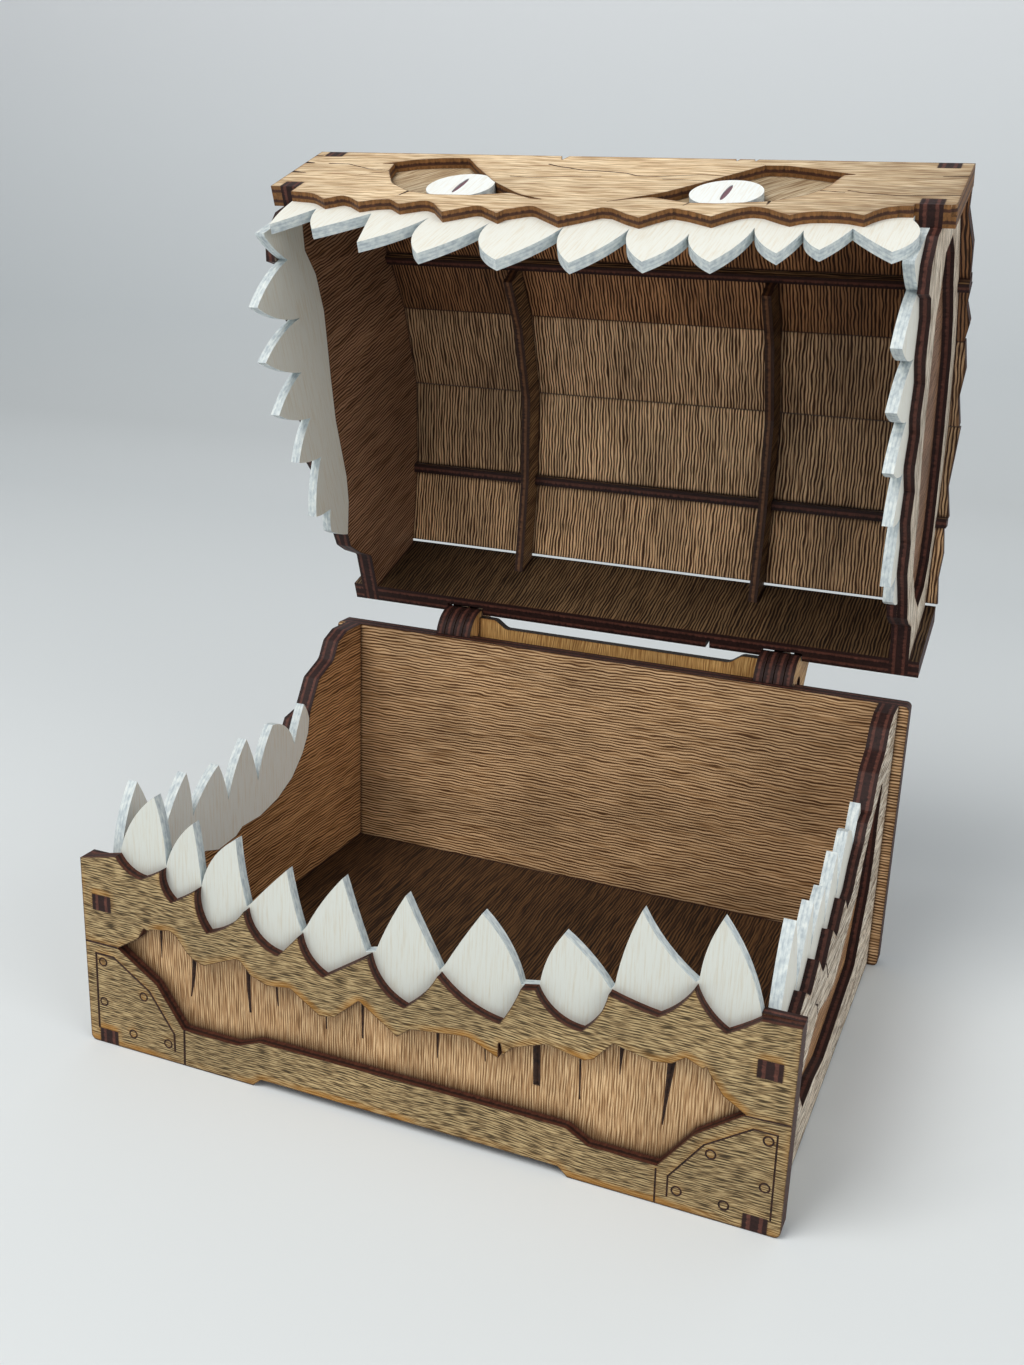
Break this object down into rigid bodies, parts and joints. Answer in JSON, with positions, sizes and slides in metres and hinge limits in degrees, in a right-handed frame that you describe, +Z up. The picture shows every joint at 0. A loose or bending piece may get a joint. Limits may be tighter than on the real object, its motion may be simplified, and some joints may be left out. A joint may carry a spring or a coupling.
{
  "type": "mimic chest",
  "caption": "Small plywood chest with a jagged toothed mouth, eyes in the brow of its planked lid, and a lid that swings on wooden knuckles.",
  "frame": {"origin": "on the ground under the middle of the front boards' outer face", "axes": "+X to the right across the front, +Y towards the hinge, +Z up"},
  "size_m": [0.201, 0.1908, 0.2462],
  "materials": {
    "painted_white_wood": "satin",
    "pale_wood": "matte",
    "tan_wood": "matte",
    "dark_wood": "matte",
    "brown_wood": "matte",
    "olive_wood": "matte"
  },
  "bodies": {
    "box": {"back_wall": "brown_wood", "box_knuckle_left_inner": "dark_wood", "box_knuckle_left_outer": "dark_wood", "box_knuckle_right_inner": "dark_wood", "box_knuckle_right_outer": "dark_wood", "floor": "brown_wood", "front_frame": "olive_wood", "front_panel": "pale_wood", "front_teeth": "painted_white_wood", "hinge_leaf": "tan_wood", "hinge_pin_left": "tan_wood", "hinge_pin_right": "tan_wood", "rear_board": "brown_wood", "side_frame_left": "olive_wood", "side_frame_right": "olive_wood", "side_panel_left": "pale_wood", "side_panel_right": "pale_wood", "side_teeth_left": "painted_white_wood", "side_teeth_right": "painted_white_wood"},
    "lid": {"brow_frame": "tan_wood", "brow_panel": "tan_wood", "eye_left": "painted_white_wood", "eye_right": "painted_white_wood", "lid_back_inner": "brown_wood", "lid_back_outer": "brown_wood", "lid_front_teeth": "painted_white_wood", "lid_knuckle_left_inner": "dark_wood", "lid_knuckle_left_outer": "dark_wood", "lid_knuckle_right_inner": "dark_wood", "lid_knuckle_right_outer": "dark_wood", "lid_side_frame_left": "olive_wood", "lid_side_frame_right": "olive_wood", "lid_side_panel_left": "pale_wood", "lid_side_panel_right": "pale_wood", "lid_side_teeth_left": "painted_white_wood", "lid_side_teeth_right": "painted_white_wood", "plank_a": "brown_wood", "plank_b": "brown_wood", "plank_c": "brown_wood", "plank_d": "brown_wood", "plank_e": "brown_wood", "rib_left": "dark_wood", "rib_right": "dark_wood", "stringer_front": "dark_wood", "stringer_rear": "dark_wood"}
  },
  "joints": [
    {"name": "lid_hinge", "type": "hinge", "parent": "box", "child": "lid", "pos_m": [0, 0.1574, 0.0868], "axis": [1, 0, 0], "range_deg": [0, 61]}
  ]
}
